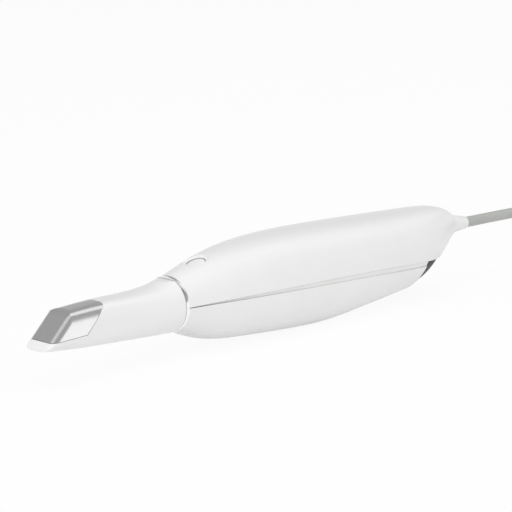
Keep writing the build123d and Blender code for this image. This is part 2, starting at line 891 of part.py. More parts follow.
lens_face = Plane(origin=(x_splitter, 0, axis_height + lamp_bottom + 3.2))
condenser_lens = disc_lens(lens_face, lamp_bore - fit, lens_edge, lens_bulge, 0)
condenser_lens.label = "condenser_lens"
export_step(condenser_lens, "parts/condenser_lens.step")

with BuildPart() as lamp_board:
    with BuildSketch(level.offset(frame_rise + lamp_plate)):
        with Locations((x_splitter, 0)):
            RectangleRounded(20.0, 15.0, 1.0)
    extrude(amount=board_thickness)
lamp_board.part.label = "lamp_board"
export_step(lamp_board.part, "parts/lamp_board.step")

with BuildPart() as lamp:
    with BuildSketch(level.offset(frame_rise + lamp_plate)):
        with Locations((x_splitter, 0)):
            Rectangle(4.0, 4.0)
    extrude(amount=-0.9)
lamp.part.label = "lamp"
export_step(lamp.part, "parts/lamp.step")

# Tube lens in the rear wall, and the image sensor behind it
tube_lens = disc_lens(station(x_back + 3.0), lens_radius, lens_edge, lens_bulge, lens_bulge)
tube_lens.label = "tube_lens"
export_step(tube_lens, "parts/tube_lens.step")

x_sensor = x_back + frame_wall + standoff
with BuildPart() as sensor_board:
    with BuildSketch(station(x_sensor)):
        RectangleRounded(21.0, 18.0, 1.0)
    extrude(amount=board_thickness)
sensor_board.part.label = "sensor_board"
export_step(sensor_board.part, "parts/sensor_board.step")

with BuildPart() as image_sensor:
    with BuildSketch(station(x_sensor)):
        Rectangle(10.0, 9.0)
    extrude(amount=-chip_height)
image_sensor.part.label = "image_sensor"
export_step(image_sensor.part, "parts/image_sensor.step")

# Main board with its processor, heat sink and cable socket
with BuildPart() as main_board:
    with BuildSketch(level.offset(board_top)):
        with Locations((x_board + board_length / 2, 0)):
            RectangleRounded(board_length, board_width, 1.5)
        with Locations(*pairs(board_posts)):
            Circle(screw_radius + 2 * fit, mode=Mode.SUBTRACT)
    extrude(amount=-board_thickness)
main_board.part.label = "main_board"
export_step(main_board.part, "parts/main_board.step")

x_chip = x_board + 16.5
with BuildPart() as processor:
    with BuildSketch(level.offset(board_top)):
        with Locations((x_chip, 0)):
            Rectangle(13.0, 13.0)
    extrude(amount=board_thickness)
processor.part.label = "processor"
export_step(processor.part, "parts/processor.step")

with BuildPart() as heat_sink:
    with BuildSketch(level.offset(board_top + board_thickness)):
        with Locations((x_chip, 0)):
            Rectangle(sink_size, sink_size)
    extrude(amount=sink_base)
    with BuildSketch(level.offset(board_top + board_thickness + sink_base)):
        with Locations((x_chip, 0)):
            with GridLocations(0, (sink_size - fin_thickness) / (fin_count - 1), 1, fin_count):
                Rectangle(sink_size, fin_thickness)
    extrude(amount=sink_height - sink_base)
heat_sink.part.label = "heat_sink"
export_step(heat_sink.part, "parts/heat_sink.step")

x_socket = x_board + board_length - 5.0
socket_height = 5.0
with BuildPart() as cable_socket:
    with BuildSketch(level.offset(board_top)):
        with Locations((x_socket, 0)):
            RectangleRounded(8.0, 11.0, 0.8)
    extrude(amount=socket_height)
cable_socket.part.label = "cable_socket"
export_step(cable_socket.part, "parts/cable_socket.step")

with BuildPart() as screws:
    for places, seat_height, grip in (
        (frame_posts, frame_base - frame_drop, frame_base),
        (board_posts, board_top, board_thickness),
    ):
        with BuildSketch(level.offset(seat_height)):
            with Locations(*pairs(places)):
                Circle(screw_head_radius)
        extrude(amount=screw_head)
        with BuildSketch(level.offset(seat_height)):
            with Locations(*pairs(places)):
                Circle(screw_radius)
        extrude(amount=-grip - screw_depth + 0.5)
screws.part.label = "screws"
export_step(screws.part, "parts/screws.step")

# Blower beside the vent
blower_bottom = blower_top - blower_height
blower_level = level.offset(blower_bottom)
blower_chamber = rotor_radius + 0.9
shaft_radius = 1.0
with BuildPart() as blower_case:
    with BuildSketch(blower_level):
        with Locations((x_blower, 0)):
            RectangleRounded(blower_size, blower_size, 3.0)
    extrude(amount=blower_height)
    with BuildSketch(blower_level.offset(blower_skin)):
        with Locations((x_blower, 0)):
            Circle(blower_chamber)
        with Locations((x_blower + blower_size / 2, 0)):
            Rectangle(blower_size, 1.2 * rotor_radius)
    extrude(amount=blower_height - 2 * blower_skin, mode=Mode.SUBTRACT)
    with BuildSketch(blower_level):
        with Locations((x_blower, 0)):
            Circle(0.75 * rotor_radius)
    extrude(amount=blower_height, mode=Mode.SUBTRACT)
    with BuildSketch(blower_level):
        with Locations((x_blower, 0)):
            Circle(0.75 * rotor_radius)
    extrude(amount=blower_skin)
    with BuildSketch(blower_level):
        with Locations((x_blower, 0)):
            Circle(shaft_radius)
    extrude(amount=blower_height - blower_skin)
blower_case.part.label = "blower_case"
export_step(blower_case.part, "parts/blower_case.step")

rotor_level = blower_level.offset(blower_skin + joint_gap)
rotor_height = blower_height - 2 * blower_skin - 2 * joint_gap
with BuildPart() as blower_rotor:
    with BuildSketch(rotor_level):
        with Locations((x_blower, 0)):
            Circle(rotor_radius)
    extrude(amount=0.8)
    with BuildSketch(rotor_level):
        with Locations((x_blower, 0)):
            Circle(0.45 * rotor_radius)
            with PolarLocations(0.7 * rotor_radius, blade_count):
                Rectangle(0.6 * rotor_radius, 0.7, rotation=25)
    extrude(amount=rotor_height)
    with BuildSketch(rotor_level):
        with Locations((x_blower, 0)):
            Circle(1.2 * rotor_radius)
            Circle(rotor_radius, mode=Mode.SUBTRACT)
    extrude(amount=rotor_height, mode=Mode.SUBTRACT)
    with BuildSketch(rotor_level):
        with Locations((x_blower, 0)):
            Circle(shaft_radius + fit)
    extrude(amount=rotor_height, mode=Mode.SUBTRACT)
blower_rotor.part.label = "blower_rotor"
export_step(blower_rotor.part, "parts/blower_rotor.step")

# Cable boot, turned about its own drooping axis
boot_side = Plane(boot_plane.origin, x_dir=boot_plane.z_dir, z_dir=(0, -1, 0))
with BuildPart() as cable_boot:
    with BuildSketch(boot_side):
        with BuildLine():
            Polyline(
                (-boot_start, 0),
                (-boot_start, boot_neck),
                (0, boot_neck),
                (0, boot_root_radius),
                (1.5, boot_root_radius),
                (boot_length, boot_end_radius),
                (boot_length, 0),
                close=True,
            )
        make_face()
    revolve(axis=Axis(boot_plane.origin, boot_plane.z_dir))
cable_boot.part.label = "cable_boot"
export_step(cable_boot.part, "parts/cable_boot.step")


def tube(points, radius, reach_share=0.45):
    """Round tube along straight runs joined by arcs as large as the runs allow."""
    turns = []
    for before, corner, after in zip(points, points[1:], points[2:]):
        into = Vector(*corner) - Vector(*before)
        out = Vector(*after) - Vector(*corner)
        half_turn = radians(into.get_angle(out) / 2)
        turns.append(reach_share * min(into.length, out.length) / tan(half_turn))
    print("radii", [round(turn, 1) for turn in turns])
    with BuildPart() as swept:
        with BuildLine() as route:
            FilletPolyline(*points, radius=turns)
        path = route.wires()[0]
        with BuildSketch(Plane(path @ 0, z_dir=path % 0)):
            Circle(radius)
        sweep()
    full = swept.part.volume / (pi * radius**2 * path.length)
    print("tube", round(path.length, 1), "mm long, volume to section times length", round(full, 4))
    return swept.part


# Lead inside the handle, from the boot to the board
lead_end = boot_plane.origin - boot_plane.z_dir * boot_start
lead_bend = lead_end - boot_plane.z_dir * 15.0
lead_height = axis_height + board_top + socket_height / 2
lead_points = [
    (lead_end.X, 0, lead_end.Z),
    (lead_bend.X, 0, lead_bend.Z),
    (x_socket + 19.0, 0, lead_height),
    (x_socket + 4.0, 0, lead_height),
]
inner_lead = tube(lead_points, 0.7 * cable_radius)
inner_lead.label = "inner_lead"
export_step(inner_lead, "parts/inner_lead.step")

# Cable: straight out of the boot, then down to the hank
cable_exit = boot_plane.origin + boot_plane.z_dir * boot_length
cable_straight = boot_plane.origin + boot_plane.z_dir * (boot_length + 30.0)
x_hank = x_rear + hank_start
hank_base = tie_thickness + joint_gap
hank_outer = hank_fold + (hank_columns - 1) * 2 * cable_radius
hank_height = hank_layers * 2 * cable_radius
top_layer = hank_base + hank_height - cable_radius
cable_points = [
    (cable_exit.X, cable_exit.Y, cable_exit.Z),
    (cable_straight.X, cable_straight.Y, cable_straight.Z),
    (cable_exit.X + 60.0, -3.0, cable_exit.Z - 6.0),
    (cable_exit.X + 84.0, -12.0, cable_exit.Z - 9.8),
    (cable_exit.X + 102.0, -19.0, cable_exit.Z - 12.7),
    (x_hank - 3.0, -hank_outer, top_layer),
]
cable = tube(cable_points, cable_radius)
cable.label = "cable"
export_step(cable, "parts/cable.step")

# Hank: the outer shape of the folded turns, held by a tie
hank_ring = hank_outer + cable_radius
hank_hole = hank_fold - cable_radius
x_hank_middle = x_hank + hank_run / 2
with BuildPart() as cable_hank:
    with BuildSketch(Plane.XY.offset(hank_base)):
        with Locations((x_hank_middle, 0)):
            SlotCenterToCenter(hank_run, 2 * hank_ring)
            SlotCenterToCenter(hank_run, 2 * hank_hole, mode=Mode.SUBTRACT)
    extrude(amount=hank_height)
    fillet(cable_hank.faces().filter_by(Axis.Z).edges(), 0.9 * cable_radius)
cable_hank.part.label = "cable_hank"
export_step(cable_hank.part, "parts/cable_hank.step")

# Tie round both runs of the hank
with BuildPart() as hank_tie:
    with BuildSketch(station(x_hank_middle - tie_width / 2)):
        with Locations((0, hank_base + hank_height / 2 - axis_height)):
            RectangleRounded(
                2 * (hank_ring + joint_gap + tie_thickness),
                hank_height + 2 * (joint_gap + tie_thickness),
                cable_radius,
            )
            RectangleRounded(
                2 * (hank_ring + joint_gap),
                hank_height + 2 * joint_gap,
                cable_radius - tie_thickness,
                mode=Mode.SUBTRACT,
            )
    extrude(amount=tie_width)
hank_tie.part.label = "hank_tie"
export_step(hank_tie.part, "parts/hank_tie.step")

# Tail and plug
x_tail = x_hank + hank_run + hank_ring / 2
plug_axis = plug_height / 2
tail_points = [
    (x_tail, -hank_fold, hank_base + cable_radius),
    (x_tail + 0.33 * tail_length, -hank_fold, hank_base + cable_radius + 0.1),
    (x_tail + 0.66 * tail_length, -hank_fold, plug_axis),
    (x_tail + tail_length, -hank_fold, plug_axis),
]
cable_tail = tube(tail_points, cable_radius)
cable_tail.label = "cable_tail"
export_step(cable_tail, "parts/cable_tail.step")

x_plug = x_tail + tail_length
plug_plane = Plane(origin=(x_plug, -hank_fold, plug_axis), x_dir=(0, 1, 0), z_dir=(1, 0, 0))
neck_length = 9.0
with BuildPart() as plug_body:
    with BuildSketch(plug_plane):
        Circle(cable_radius + 0.8)
    with BuildSketch(plug_plane.offset(neck_length)):
        Circle(cable_radius + 1.1)
    loft()
    with BuildSketch(plug_plane.offset(neck_length)):
        RectangleRounded(plug_width, plug_height, 2.5)
    extrude(amount=plug_length - neck_length)
plug_body.part.label = "plug_body"
export_step(plug_body.part, "parts/plug_body.step")

with BuildPart() as plug_shell:
    with BuildSketch(plug_plane.offset(plug_length)):
        RectangleRounded(shell_width, shell_height, 0.6)
        Rectangle(shell_width - 2 * shell_sheet, shell_height - 2 * shell_sheet, mode=Mode.SUBTRACT)
    extrude(amount=shell_length)
plug_shell.part.label = "plug_shell"
export_step(plug_shell.part, "parts/plug_shell.step")

with BuildPart() as plug_tongue:
    with BuildSketch(plug_plane.offset(plug_length)):
        with Locations((0, shell_height / 2 - shell_sheet - 0.9)):
            Rectangle(shell_width - 2 * shell_sheet, 1.8)
    extrude(amount=shell_length - 1.0)
plug_tongue.part.label = "plug_tongue"
export_step(plug_tongue.part, "parts/plug_tongue.step")
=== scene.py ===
# %% [markdown]
# An intraoral scanner on a white table
#
# A dentist holds this wand like a thick pen and moves its metal tip along the teeth. The CAD model
# has its solids, in metres, with the table at height zero. This lesson gives each solid its finish,
# lays the lead as one soft curve, and lights the scene as a product picture is lit. The first cell
# loads the CAD model, which is never moved.

import json
from math import cos, pi, radians, sin

import bpy
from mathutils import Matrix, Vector


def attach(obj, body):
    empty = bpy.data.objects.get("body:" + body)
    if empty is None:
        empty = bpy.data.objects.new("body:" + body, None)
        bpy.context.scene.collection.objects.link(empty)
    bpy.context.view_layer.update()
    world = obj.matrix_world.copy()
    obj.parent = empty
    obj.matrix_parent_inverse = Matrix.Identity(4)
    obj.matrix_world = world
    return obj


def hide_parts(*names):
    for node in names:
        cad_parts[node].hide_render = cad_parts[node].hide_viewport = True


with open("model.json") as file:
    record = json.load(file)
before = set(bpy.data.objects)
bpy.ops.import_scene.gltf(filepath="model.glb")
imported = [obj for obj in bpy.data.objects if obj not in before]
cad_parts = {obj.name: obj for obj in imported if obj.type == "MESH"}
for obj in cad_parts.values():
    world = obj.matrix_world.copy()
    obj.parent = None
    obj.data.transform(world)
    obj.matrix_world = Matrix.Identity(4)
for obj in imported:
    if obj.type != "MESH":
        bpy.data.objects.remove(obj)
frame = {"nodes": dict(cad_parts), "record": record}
nodes = frame["nodes"]
scene = bpy.context.scene
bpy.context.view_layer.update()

# %% [markdown]
# The camera
#
# The wand points to the lower left of the picture and its lead leaves on the right. The lines of
# the picture hardly draw together, so the lens is long. The eye stands about 13 degrees above the
# table. A long lens that is far away gives the same calm perspective as the picture has, and the
# lens width comes from the size of the wand in it. The cell also has a small helper that puts a
# new thing into the scene, which the lead, the table and the lamps use again.

# %% Camera
camera_place = (-0.8223, -0.7864, 0.2896)
camera_drop = 12.6  # degrees that it looks down
camera_turn = 46.2  # degrees that it looks to the right of straight ahead


def put_in_scene(name, data):
    thing = bpy.data.objects.new(name, data)
    scene.collection.objects.link(thing)
    return thing


camera = put_in_scene("camera", bpy.data.cameras.new("camera"))
camera.location = camera_place
camera.rotation_euler = (radians(90.0 - camera_drop), 0.0, radians(-camera_turn))
camera.data.sensor_width = 36.0
camera.data.lens = 180.0
camera.data.clip_end = 50.0
scene.camera = camera
scene.view_settings.view_transform = "Standard"
print("lens:", camera.data.lens, "mm")

# %% [markdown]
# Building nodes by hand
#
# A material is a small graph of nodes. Four short helpers keep the later cells readable: one adds a
# node and sets its plain properties, one sets numbers on its sockets, one draws a link between two
# sockets, and one starts a node group with named inputs and outputs.

# %% Node helpers
def add(tree, kind, **settings):
    node = tree.nodes.new(kind)
    for name, value in settings.items():
        setattr(node, name, value)
    return node


def fill(node, **values):
    for name, value in values.items():
        node.inputs[name.replace("_", " ")].default_value = value
    return node


def join(tree, output, socket):
    tree.links.new(output, socket)


def new_group(name, inputs, outputs):
    tree = bpy.data.node_groups.new(name, "ShaderNodeTree")
    kind = "NodeSocketFloat"
    for label, value in inputs.items():
        socket = tree.interface.new_socket(label, in_out="INPUT", socket_type=kind)
        socket.default_value = value
    for label in outputs:
        tree.interface.new_socket(label, in_out="OUTPUT", socket_type=kind)
    return tree, tree.nodes.new("NodeGroupInput"), tree.nodes.new("NodeGroupOutput")


print("node helpers ready")

# %% [markdown]
# The lead
#
# A free lead is one flexible thing of fixed length, so it is one spline. The first six points are
# the way from the boot down to the hank. They are those of the CAD model, with four of them a few
# millimetres higher, because the picture shows the lead leave the boot level before its weight
# bends it down. The rest of its length is folded into a hank behind the wand, two columns wide and
# three layers high. The places in that stack are listed in the order in which the turns fill them.

# %% Way of the lead
cord_radius = 0.0026
cord_way = [
    (0.146837, 0.0, 0.028628),
    (0.176723, 0.0, 0.0281),
    (0.206837, -0.003, 0.0279),
    (0.230837, -0.012, 0.0234),
    (0.248837, -0.019, 0.0175),
    (0.2695, -0.0212, 0.014),
]
near_fold, fold_gap = 0.2725, 0.096
far_fold = near_fold + fold_gap
outer, inner = 0.0212, 0.016
top, middle, low = 0.014, 0.0088, 0.0036
places = [
    (outer, top),
    (inner, top),
    (inner, middle),
    (outer, middle),
    (outer, low),
    (inner, low),
]
print("way to the hank:", len(cord_way), "points")

# %% [markdown]
# The turns of the hank
#
# One function gives the points of a turn. It runs out on the near side, round the far fold, back
# on the far side and round the near fold. A quadratic spline touches the middle of each side of
# its control polygon, so fold points that stand every 30 degrees on a circle wider by
# 1 / cos 15 degrees give a fold of the true radius. On the way back the turn changes from its own
# place in the stack to the next free one, each turn at its own stretch of the way, so that no
# turn cuts another.

# %% Turns of the hank
turns = len(places) - 1
fold_angles = (-75, -45, -15, 15, 45, 75)
half_step = radians(15)
fold_way = pi * (outer + inner) / 2
way_back = fold_gap + fold_way
change_share = 0.2  # of the way back, for the change of place
run_shares = (0.2, 0.8)
back_shares = (0.1, 0.3, 0.5, 0.7, 0.9)


def turn_points(turn):
    (radius, height), (next_radius, next_height) = places[turn], places[turn + 1]
    change_start = change_share * (turns - 1 - turn)

    def place(share):
        step = min(1.0, max(0.0, (share - change_start) / change_share))
        return radius + (next_radius - radius) * step, height + (next_height - height) * step

    points = [(near_fold + share * fold_gap, -radius, height) for share in run_shares]
    for angle in map(radians, fold_angles):
        reach = radius / cos(half_step)
        points.append((far_fold + reach * cos(angle), reach * sin(angle), height))
    for share in back_shares:
        r, z = place(share * fold_gap / way_back)
        points.append((far_fold - share * fold_gap, r, z))
    for degrees in fold_angles:
        r, z = place((fold_gap + fold_way * (degrees + 90) / 180) / way_back)
        reach, angle = r / cos(half_step), radians(degrees)
        points.append((near_fold - reach * cos(angle), -reach * sin(angle), z))
    return points


hank_way = [point for turn in range(turns) for point in turn_points(turn)]
tail_way = [(near_fold + share * fold_gap, -inner, low) for share in run_shares]
for tail_x, tail_z in ((0.387, 0.0037), (0.3936, 0.004), (0.4004, 0.004)):
    tail_way.append((tail_x, -inner, tail_z))
print("hank:", len(hank_way), "points, tail:", len(tail_way), "points")

# %% [markdown]
# From points to a round lead
#
# The curve's bevel makes the round jacket. Each point carries the jacket's radius and the bevel is
# one, which gives the same tube as the other way round and keeps the curve's box as small as the
# lead. The order and the end points are set after the points are there, because Blender cuts the
# order down to what the number of points allows. The lead takes the place of three CAD solids.

# %% Lead curve
lead_data = bpy.data.curves.new("lead", "CURVE")
lead_data.dimensions = "3D"
lead_spline = lead_data.splines.new("NURBS")
lead_points = cord_way + hank_way + tail_way
lead_spline.points.add(len(lead_points) - 1)
for control, point in zip(lead_spline.points, lead_points):
    control.co = (*point, 1.0)
    control.radius = cord_radius
lead_spline.order_u = 3
lead_spline.use_endpoint_u = True
lead_spline.resolution_u = 6
lead_data.bevel_depth = 1.0
lead_data.bevel_resolution = 5
lead_data.use_fill_caps = True
lead = put_in_scene("lead", lead_data)
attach(lead, "handle")
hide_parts("cable", "cable_hank", "cable_tail")
print("lead:", len(lead_points), "control points")

# %% [markdown]
# White for the eye only
#
# The picture was taken on pure white, with hardly a shadow under the wand. A real white table under
# this light would come out pale grey. The light path node tells which kind of ray is looking, so a
# surface can glow for the camera and still light nothing. Table and studio both need that, so two
# helpers make it: one gives a mask of the rays that count, the other mixes two shaders by a mask.
# A third one spells out a grey, whose red, green and blue are the same.

# %% White helpers
pure_white = (1.0, 1.0, 1.0, 1.0)


def grey(tone):
    return (tone, tone, tone)


def seen_by(tree, *rays):
    path = add(tree, "ShaderNodeLightPath")
    seen = path.outputs[rays[0]]
    for ray in rays[1:]:
        either = add(tree, "ShaderNodeMath", operation="MAXIMUM")
        join(tree, seen, either.inputs[0])
        join(tree, path.outputs[ray], either.inputs[1])
        seen = either.outputs[0]
    return seen


def show_mix(tree, mask, first, second, end):
    mix = add(tree, "ShaderNodeMixShader")
    for output, socket in zip((mask, first.outputs[0], second.outputs[0]), mix.inputs):
        join(tree, output, socket)
    join(tree, mix.outputs[0], add(tree, end).inputs["Surface"])


print("white helpers ready")

# %% [markdown]
# The table
#
# The table is one wide face just under the wand. For the camera, for mirrors and for what is seen
# through glass, most of it glows at full white. The rest is lit as usual, so that a faint shadow
# stays. The wand gets no extra light.

# %% Floor
table_half = 6.0
table_drop = 0.0002
table_tone = 0.87
white_share = 0.93
floor_mesh = bpy.data.meshes.new("table")
corners = [(x * table_half, y * table_half, 0.0) for x, y in ((-1, -1), (1, -1), (1, 1), (-1, 1))]
floor_mesh.from_pydata(corners, [], [(0, 1, 2, 3)])
floor = put_in_scene("table", floor_mesh)
floor.location.z = -table_drop
floor_finish = bpy.data.materials.new("table white")
floor_finish.use_nodes = True
tree = floor_finish.node_tree
tree.nodes.clear()
part_white = add(tree, "ShaderNodeMath", operation="MULTIPLY")
part_white.inputs[1].default_value = white_share
seen = seen_by(tree, "Is Camera Ray", "Is Glossy Ray", "Is Transmission Ray")
join(tree, seen, part_white.inputs[0])
lit = fill(add(tree, "ShaderNodeBsdfDiffuse"), Color=(*grey(table_tone), 1.0))
white = fill(add(tree, "ShaderNodeEmission"), Color=pure_white, Strength=1.0)
show_mix(tree, part_white.outputs[0], lit, white, "ShaderNodeOutputMaterial")
floor_mesh.materials.append(floor_finish)
print("table:", 2 * table_half, "m wide")

# %% [markdown]
# The studio round it
#
# The world is the tent of a product studio. Rays from the camera see plain white, and so do rays
# that have gone through glass. Other rays see a white backdrop just above the table, grey walls
# over it and a paler roof. Metal shows all three: the backdrop turns the side of the hood white,
# the walls give the ring its dark bands and leave the flat front of the hood grey, and the roof
# draws the light line along the rounded edge of that front.

# %% World
tent_stops = ((0.08, 1.0), (0.2, 0.41), (0.5, 0.37), (0.76, 0.28), (0.9, 0.62))  # height, tone
world = bpy.data.worlds.new("studio tent")
scene.world = world
world.use_nodes = True
tree = world.node_tree
tree.nodes.clear()
way = add(tree, "ShaderNodeTexCoord")
height = add(tree, "ShaderNodeSeparateXYZ")
join(tree, way.outputs["Generated"], height.inputs[0])
tent = add(tree, "ShaderNodeValToRGB")
stops = tent.color_ramp.elements
for stop, (share, tone) in zip(stops, (tent_stops[0], tent_stops[-1])):
    stop.position = share
    stop.color = (*grey(tone), 1.0)
for share, tone in tent_stops[1:-1]:
    stops.new(share).color = (*grey(tone), 1.0)
join(tree, height.outputs["Z"], tent.inputs[0])
tent_light = add(tree, "ShaderNodeBackground")
join(tree, tent.outputs["Color"], tent_light.inputs["Color"])
plain_white = fill(add(tree, "ShaderNodeBackground"), Color=pure_white, Strength=1.0)
seen = seen_by(tree, "Is Camera Ray", "Is Transmission Ray")
show_mix(tree, seen, tent_light, plain_white, "ShaderNodeOutputWorld")
print("tent: white backdrop, grey walls, pale roof")

# %% [markdown]
# Soft boxes
#
# Three soft boxes do the rest: a wide one high and to the front, which lights the top and the near
# side, a weaker one at the left, which lights the lip of the tip and the far side, and a small one
# on the right. The small one is there for what mirrors it: it draws the white band in the chrome
# ring and the light along the shoulder of the hood. The wide one would wash over the polished
# metal, so glossy rays don't see it. It only lights, and the metal keeps the tent's light and dark
# bands from every side.

# %% Lamps
lamp_aim = Vector((0.0, 0.0, 0.02))


def soft_box(name, place, size, power):
    data = bpy.data.lights.new(name, "AREA")
    data.shape = "SQUARE"
    data.size = size
    data.energy = power
    lamp = put_in_scene(name, data)
    lamp.location = place
    lamp.rotation_euler = (lamp_aim - Vector(place)).to_track_quat("-Z", "Y").to_euler()
    return lamp


front_box = soft_box("front box", (-0.3, -0.9, 1.45), 3.4, 29.0)
front_box.visible_glossy = False
soft_box("left box", (-1.25, 0.25, 0.7), 1.2, 5.0)
soft_box("right box", (1.0, -0.14, 1.0), 0.9, 1.5)
print("soft boxes: 3")

# %% [markdown]
# Moulded grain
#
# Moulded plastic is never quite even. The tool leaves a fine grain, and the melt leaves wide, faint
# clouds. Both are noise at two scales, so they are one group that any plastic can use with its own
# sizes. The group reads the object's own coordinates, in metres, so the grain has a true size and
# rides with its piece.

# %% Moulded grain group
grain_group, grain_in, grain_out = new_group(
    "moulded grain", {"Cloud Scale": 60.0, "Grain Scale": 2600.0}, ["Cloud", "Grain"]
)
spot = add(grain_group, "ShaderNodeTexCoord")
for label, detail in (("Cloud", 2.0), ("Grain", 4.0)):
    noise = fill(add(grain_group, "ShaderNodeTexNoise"), Detail=detail, Roughness=0.55)
    join(grain_group, spot.outputs["Object"], noise.inputs["Vector"])
    join(grain_group, grain_in.outputs[label + " Scale"], noise.inputs["Scale"])
    join(grain_group, noise.outputs["Fac"], grain_out.inputs[label])
print("group:", grain_group.name)

# %% [markdown]
# Worn edges
#
# Hands and cloths rub the edges first. A bevel node gives the normal that a rounded edge would
# have. Where it turns away from the true normal there is an edge. Noise breaks the mask up, so
# that the wear isn't an even line.

# %% Edge wear group
wear_group, wear_in, wear_out = new_group(
    "edge wear", {"Width": 0.0006, "Break Scale": 500.0}, ["Edge"]
)
soft_edge = add(wear_group, "ShaderNodeBevel", samples=4)
join(wear_group, wear_in.outputs["Width"], soft_edge.inputs["Radius"])
true_face = add(wear_group, "ShaderNodeNewGeometry")
turn_away = add(wear_group, "ShaderNodeVectorMath", operation="DOT_PRODUCT")
join(wear_group, soft_edge.outputs["Normal"], turn_away.inputs[0])
join(wear_group, true_face.outputs["Normal"], turn_away.inputs[1])
edge = fill(add(wear_group, "ShaderNodeMapRange"), From_Min=0.995, From_Max=0.85)
join(wear_group, turn_away.outputs["Value"], edge.inputs["Value"])
spot = add(wear_group, "ShaderNodeTexCoord")
noise = fill(add(wear_group, "ShaderNodeTexNoise"), Detail=3.0)
join(wear_group, spot.outputs["Object"], noise.inputs["Vector"])
join(wear_group, wear_in.outputs["Break Scale"], noise.inputs["Scale"])
broken = add(wear_group, "ShaderNodeMath", operation="MULTIPLY")
join(wear_group, edge.outputs[0], broken.inputs[0])
join(wear_group, noise.outputs["Fac"], broken.inputs[1])
join(wear_group, broken.outputs[0], wear_out.inputs["Edge"])
print("group:", wear_group.name)

# %% [markdown]
# Painted shade in gaps
#
# Light hardly gets into the narrow gaps round a button or along a seam, so shade is painted there.
# The ambient occlusion node tells how much of the near surroundings a spot can see, within a reach
# of two millimetres. The group turns that into a mask of painted shade that is one deep in a gap
# and zero on open faces.

# %% Painted gap shade group
# painted shade: a mask for darkening the colour deep in gaps and along seams
painted_shade_group, gap_in, gap_out = new_group("painted gap shade", {"Reach": 0.002}, ["Gap"])
sky = add(painted_shade_group, "ShaderNodeAmbientOcclusion", samples=8)
join(painted_shade_group, gap_in.outputs["Reach"], sky.inputs["Distance"])
deep = fill(add(painted_shade_group, "ShaderNodeMapRange"), From_Min=0.62, From_Max=0.3)
join(painted_shade_group, sky.outputs["AO"], deep.inputs["Value"])
join(painted_shade_group, deep.outputs[0], gap_out.inputs["Gap"])
print("group:", painted_shade_group.name)

# %% [markdown]
# Fine scratches
#
# Polished and satin metal carries hair lines from finishing and wiping. Noise that is stretched
# along one axis looks like them. The group gives a line mask that the metals use for roughness and
# for a very small bump.

# %% Hair line group
line_group, line_in, line_out = new_group(
    "hair lines", {"Across": 5200.0, "Along": 130.0}, ["Line"]
)
spot = add(line_group, "ShaderNodeTexCoord")
stretch = add(line_group, "ShaderNodeCombineXYZ")
for label, axis in (("Along", "X"), ("Across", "Y"), ("Across", "Z")):
    join(line_group, line_in.outputs[label], stretch.inputs[axis])
drawn = add(line_group, "ShaderNodeVectorMath", operation="MULTIPLY")
join(line_group, spot.outputs["Object"], drawn.inputs[0])
join(line_group, stretch.outputs[0], drawn.inputs[1])
noise = fill(add(line_group, "ShaderNodeTexNoise"), Scale=1.0, Detail=3.0, Roughness=0.6)
join(line_group, drawn.outputs[0], noise.inputs["Vector"])
join(line_group, noise.outputs["Fac"], line_out.inputs["Line"])
print("group:", line_group.name)

# %% [markdown]
# Steps that every finish takes
#
# Each finish starts from one shader. Noise stays mostly between 0.3 and 0.7, so it is spread from
# there to the range that a socket needs. A tint lays a second colour over a first one by a mask,
# and the first may itself be the result of a tint. A mix node has sockets for numbers, vectors and
# colours under the same names, so the colour ones are picked by their place.

# %% Finish helpers
noise_low, noise_high = 0.3, 0.7
mix_first, mix_second, mix_result = 6, 7, 2


def place_group(tree, group, **values):
    return fill(add(tree, "ShaderNodeGroup", node_tree=group), **values)


def spread(tree, value, low, high):
    span = add(tree, "ShaderNodeMapRange")
    fill(span, From_Min=noise_low, From_Max=noise_high, To_Min=low, To_Max=high)
    join(tree, value, span.inputs["Value"])
    return span.outputs[0]


def tint(tree, mask, first, second):
    mix = add(tree, "ShaderNodeMix", data_type="RGBA")
    join(tree, mask, mix.inputs["Factor"])
    if isinstance(first, tuple):
        mix.inputs[mix_first].default_value = (*first, 1.0)
    else:
        join(tree, first, mix.inputs[mix_first])
    mix.inputs[mix_second].default_value = (*second, 1.0)
    return mix.outputs[mix_result]


def start_finish(name):
    finish = bpy.data.materials.new(name)
    finish.use_nodes = True
    tree = finish.node_tree
    tree.nodes.clear()
    skin = add(tree, "ShaderNodeBsdfPrincipled")
    join(tree, skin.outputs[0], add(tree, "ShaderNodeOutputMaterial").inputs["Surface"])
    return finish, tree, skin


def bumped(tree, skin, height, strength, distance):
    bump = fill(add(tree, "ShaderNodeBump"), Strength=strength, Distance=distance)
    join(tree, height, bump.inputs["Height"])
    join(tree, bump.outputs[0], skin.inputs["Normal"])


finishes = {}
print("finish helpers ready")

# %% [markdown]
# One recipe for plastics
#
# A plastic has a main colour that drifts a little with the clouds, a paler colour where edges are
# rubbed, a painted shade deep in gaps, a roughness that follows the same clouds and a bump from the
# grain. The recipe takes those few numbers. What is the same all over, such as the coat, is set on
# the shader itself.

# %% Plastic recipe
# painted shade: the colour deep in gaps, as a share of the main colour
painted_shade_tone = 0.12  # of the main colour
plastic_grain_height = 0.00008
coat_blur = 0.12


